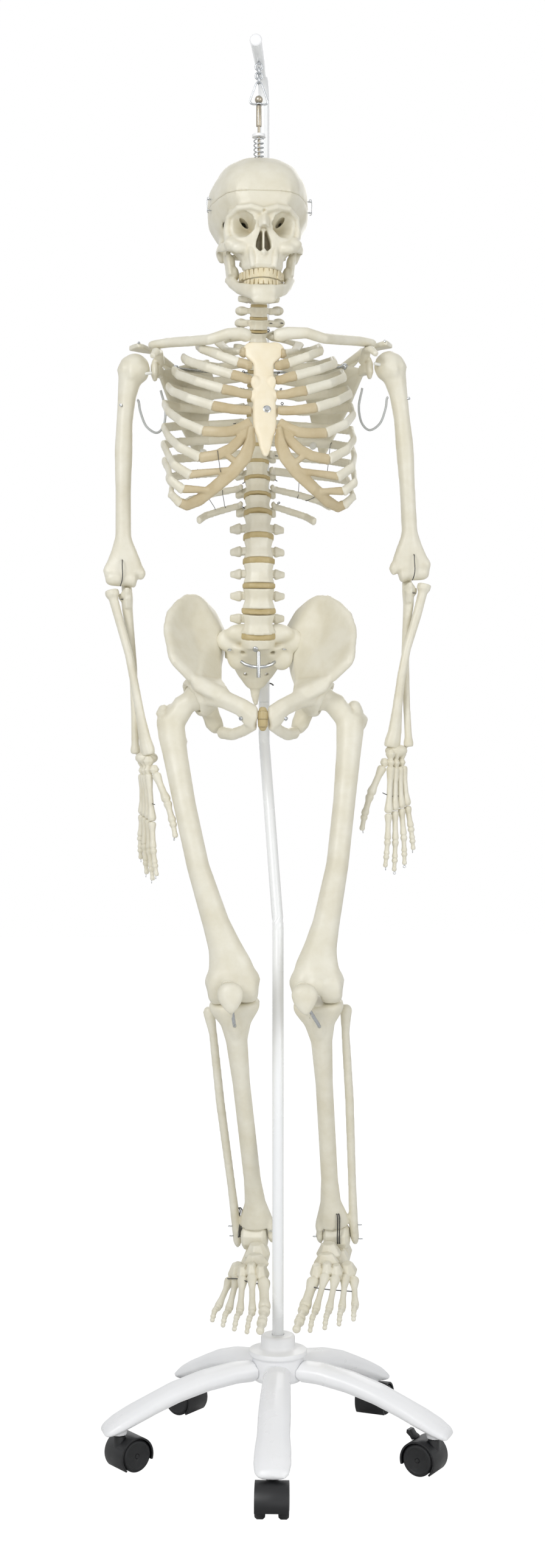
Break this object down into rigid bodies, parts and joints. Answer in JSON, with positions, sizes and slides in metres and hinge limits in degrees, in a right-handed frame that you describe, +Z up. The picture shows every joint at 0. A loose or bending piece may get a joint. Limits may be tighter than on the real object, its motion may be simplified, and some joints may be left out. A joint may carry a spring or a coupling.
{
  "type": "skeleton model on roller stand",
  "caption": "Life-size jointed human skeleton teaching model hanging by a spring rod from the crook of a white pole stand on a wheeled star base.",
  "frame": {"origin": "on the floor under the axis of the base hub", "axes": "+Z up along the pole, -Y the way the skeleton faces, +X the skeleton's left"},
  "size_m": [0.5033, 0.5314, 2.055],
  "materials": {
    "moulded_bone": "satin moulded",
    "teeth": "semi-gloss moulded",
    "sternum": "satin moulded",
    "cartilage": "satin painted",
    "disc": "satin painted",
    "pole_enamel": "gloss enamel",
    "white_plastic": "semi-gloss moulded",
    "black_plastic": "semi-gloss moulded",
    "caster_tread": "satin",
    "plated_steel": "bright zinc plate",
    "bronze_rod": "yellow chromate plate",
    "cord": "translucent extruded"
  },
  "bodies": {
    "stand": {"base_hub": "white_plastic", "base_legs": "white_plastic", "pole_lower": "pole_enamel", "pole_upper": "pole_enamel", "pole_cap": "white_plastic", "eye_screw": "plated_steel"},
    "caster_1": {"caster_fork_1": "black_plastic"},
    "wheels_1": {"caster_wheels_1": "caster_tread"},
    "caster_2": {"caster_fork_2": "black_plastic"},
    "wheels_2": {"caster_wheels_2": "caster_tread"},
    "caster_3": {"caster_fork_3": "black_plastic"},
    "wheels_3": {"caster_wheels_3": "caster_tread"},
    "caster_4": {"caster_fork_4": "black_plastic"},
    "wheels_4": {"caster_wheels_4": "caster_tread"},
    "caster_5": {"caster_fork_5": "black_plastic"},
    "wheels_5": {"caster_wheels_5": "caster_tread"},
    "brake": {"brake_lever": "black_plastic"},
    "hanger": {"chain": "plated_steel", "hanger_ring": "plated_steel"},
    "skull": {"hanger_rod": "bronze_rod", "hanger_washer": "white_plastic", "hanger_spring": "plated_steel", "skull": "moulded_bone", "upper_teeth": "teeth"},
    "skull_cap": {"skull_cap": "moulded_bone"},
    "mandible": {"mandible": "moulded_bone", "lower_teeth": "teeth"},
    "atlas": {"atlas": "moulded_bone"},
    "trunk": {"cervical_vertebrae": "moulded_bone", "thoracic_vertebrae": "moulded_bone", "upper_discs": "disc", "ribs": "moulded_bone", "costal_cartilage": "cartilage", "sternum": "sternum", "scapulae": "moulded_bone", "clavicles": "moulded_bone", "scapula_rod": "plated_steel", "shoulder_cord_right": "cord", "shoulder_cord_left": "cord"},
    "pelvis": {"lumbar_vertebrae": "moulded_bone", "lower_discs": "disc", "sacrum": "moulded_bone", "hip_bones": "moulded_bone", "pelvis_bracket": "plated_steel"},
    "humerus_right": {"humerus_right": "moulded_bone"},
    "ulna_right": {"ulna_right": "moulded_bone"},
    "radius_right": {"radius_right": "moulded_bone"},
    "hand_right": {"hand_right": "moulded_bone"},
    "fingers_right": {"fingers_right": "moulded_bone"},
    "femur_right": {"femur_right": "moulded_bone"},
    "lower_leg_right": {"lower_leg_right": "moulded_bone"},
    "foot_right": {"foot_right": "moulded_bone"},
    "humerus_left": {"humerus_left": "moulded_bone"},
    "ulna_left": {"ulna_left": "moulded_bone"},
    "radius_left": {"radius_left": "moulded_bone"},
    "hand_left": {"hand_left": "moulded_bone"},
    "fingers_left": {"fingers_left": "moulded_bone"},
    "femur_left": {"femur_left": "moulded_bone"},
    "lower_leg_left": {"lower_leg_left": "moulded_bone"},
    "foot_left": {"foot_left": "moulded_bone"}
  },
  "joints": [
    {"name": "caster_1_swivel", "type": "hinge", "parent": "stand", "child": "caster_1", "pos_m": [-0.02876, -0.23424, 0.06], "axis": [0, 0, 1], "continuous": true},
    {"name": "wheels_1_roll", "type": "hinge", "parent": "caster_1", "child": "wheels_1", "pos_m": [-0.03071, -0.25012, 0.023], "axis": [0.9925, -0.1219, 0], "continuous": true},
    {"name": "caster_2_swivel", "type": "hinge", "parent": "stand", "child": "caster_2", "pos_m": [0.21389, -0.09974, 0.06], "axis": [0, 0, 1], "continuous": true},
    {"name": "wheels_2_roll", "type": "hinge", "parent": "caster_2", "child": "wheels_2", "pos_m": [0.20078, -0.09056, 0.023], "axis": [-0.5736, -0.8192, 0], "continuous": true},
    {"name": "caster_3_swivel", "type": "hinge", "parent": "stand", "child": "caster_3", "pos_m": [0.16095, 0.1726, 0.06], "axis": [0, 0, 1], "continuous": true},
    {"name": "wheels_3_roll", "type": "hinge", "parent": "caster_3", "child": "wheels_3", "pos_m": [0.16846, 0.18673, 0.023], "axis": [-0.8829, 0.4695, 0], "continuous": true},
    {"name": "caster_4_swivel", "type": "hinge", "parent": "stand", "child": "caster_4", "pos_m": [-0.11442, 0.20641, 0.06], "axis": [0, 0, 1], "continuous": true},
    {"name": "wheels_4_roll", "type": "hinge", "parent": "caster_4", "child": "wheels_4", "pos_m": [-0.12667, 0.21669, 0.023], "axis": [-0.6428, -0.766, 0], "continuous": true},
    {"name": "caster_5_swivel", "type": "hinge", "parent": "stand", "child": "caster_5", "pos_m": [-0.23166, -0.04503, 0.06], "axis": [0, 0, 1], "continuous": true},
    {"name": "wheels_5_roll", "type": "hinge", "parent": "caster_5", "child": "wheels_5", "pos_m": [-0.2181, -0.03655, 0.023], "axis": [-0.5299, 0.848, 0], "continuous": true},
    {"name": "brake_press", "type": "hinge", "parent": "caster_2", "child": "brake", "pos_m": [0.19315, -0.08522, 0.04894], "axis": [0.5736, 0.8192, 0], "range_deg": [0, 18], "stiffness_Nm_per_rad": 0.05, "springref_deg": -8.59},
    {"name": "hanger_swing", "type": "hinge", "parent": "stand", "child": "hanger", "pos_m": [-0.028, 0, 2.0297], "axis": [-1, 0, 0], "range_deg": [0, 1.5]},
    {"name": "head_spin", "type": "hinge", "parent": "hanger", "child": "skull", "pos_m": [-0.028, 0, 1.7645], "axis": [0, 0, 1], "range_deg": [-15, 15]},
    {"name": "cap_lift", "type": "slide", "parent": "skull", "child": "skull_cap", "axis": [0, 0, 1], "range_m": [0, 0.012], "stiffness_N_per_m": 600, "springref_m": -0.01, "deforming": ["hanger_spring"]},
    {"name": "jaw_open", "type": "hinge", "parent": "skull", "child": "mandible", "pos_m": [-0.028, -0.012, 1.7635], "axis": [1, 0, 0], "range_deg": [0, 16], "stiffness_Nm_per_rad": 0.3, "springref_deg": -22.92},
    {"name": "head_nod", "type": "hinge", "parent": "skull", "child": "atlas", "pos_m": [-0.028, -0.016, 1.756], "axis": [-1, 0, 0], "range_deg": [-1, 2]},
    {"name": "neck_turn", "type": "hinge", "parent": "atlas", "child": "trunk", "pos_m": [-0.028, 0, 1.7495], "axis": [0, 0, -1], "range_deg": [-10, 10]},
    {"name": "waist_bend", "type": "hinge", "parent": "trunk", "child": "pelvis", "pos_m": [-0.028, -0.0015, 1.3821], "axis": [-1, 0, 0], "range_deg": [0, 2.5], "stiffness_Nm_per_rad": 40, "springref_deg": -2.86},
    {"name": "shoulder_right", "type": "hinge", "parent": "trunk", "child": "humerus_right", "pos_m": [-0.20893, 0.018, 1.58825], "axis": [-1, 0, 0], "range_deg": [-20, 60], "deforming": ["shoulder_cord_right"]},
    {"name": "elbow_right", "type": "hinge", "parent": "humerus_right", "child": "ulna_right", "pos_m": [-0.22714, 0.018, 1.28179], "axis": [-0.9991, 0, -0.0419], "range_deg": [0, 95]},
    {"name": "forearm_turn_right", "type": "hinge", "parent": "ulna_right", "child": "radius_right", "pos_m": [-0.24113, 0.015, 1.25738], "axis": [-0.146, -0.0435, 0.9883], "range_deg": [-54, 2]},
    {"name": "wrist_right", "type": "hinge", "parent": "radius_right", "child": "hand_right", "pos_m": [-0.19232, 0.01139, 1.01506], "axis": [-0.3773, 0.926, -0.0105], "range_deg": [-1.5, 35]},
    {"name": "fingers_right", "type": "hinge", "parent": "hand_right", "child": "fingers_right", "pos_m": [-0.18878, 0.00811, 0.93612], "axis": [0.3773, -0.926, 0.0105], "range_deg": [-10, 36]},
    {"name": "hip_right", "type": "hinge", "parent": "pelvis", "child": "femur_right", "pos_m": [-0.114, 0, 1.1117], "axis": [-0.9884, 0.1389, -0.061], "range_deg": [-6, 45]},
    {"name": "knee_right", "type": "hinge", "parent": "femur_right", "child": "lower_leg_right", "pos_m": [-0.06949, -0.04942, 0.68816], "axis": [0.9884, -0.1389, 0.061], "range_deg": [-10, 45]},
    {"name": "ankle_right", "type": "hinge", "parent": "lower_leg_right", "child": "foot_right", "pos_m": [-0.02545, 0.09329, 0.29979], "axis": [0.9655, -0.2572, 0.0416], "range_deg": [-15, 8]},
    {"name": "shoulder_left", "type": "hinge", "parent": "trunk", "child": "humerus_left", "pos_m": [0.16692, 0.018, 1.59875], "axis": [-1, 0, 0], "range_deg": [-20, 60], "deforming": ["shoulder_cord_left"]},
    {"name": "elbow_left", "type": "hinge", "parent": "humerus_left", "child": "ulna_left", "pos_m": [0.20221, 0.018, 1.29378], "axis": [-0.9999, 0, -0.014], "range_deg": [0, 95]},
    {"name": "forearm_turn_left", "type": "hinge", "parent": "ulna_left", "child": "radius_left", "pos_m": [0.21754, 0.015, 1.27019], "axis": [-0.0906, 0.0435, -0.9949], "range_deg": [-75, 5]},
    {"name": "wrist_left", "type": "hinge", "parent": "radius_left", "child": "hand_left", "pos_m": [0.17666, 0.02279, 1.02654], "axis": [-0.8707, -0.4912, -0.0243], "range_deg": [-35, 35]},
    {"name": "fingers_left", "type": "hinge", "parent": "hand_left", "child": "fingers_left", "pos_m": [0.17578, 0.02105, 0.94748], "axis": [0.8707, 0.4912, 0.0243], "range_deg": [-10, 36]},
    {"name": "hip_left", "type": "hinge", "parent": "pelvis", "child": "femur_left", "pos_m": [0.058, 0, 1.1117], "axis": [-0.9884, 0.1389, -0.061], "range_deg": [-6, 45]},
    {"name": "knee_left", "type": "hinge", "parent": "femur_left", "child": "lower_leg_left", "pos_m": [0.05309, -0.04248, 0.6851], "axis": [0.9884, -0.1389, 0.061], "range_deg": [-20, 45]},
    {"name": "ankle_left", "type": "hinge", "parent": "lower_leg_left", "child": "foot_left", "pos_m": [0.09713, 0.10023, 0.29674], "axis": [0.9655, -0.2572, 0.0416], "range_deg": [-15, 12]}
  ]
}
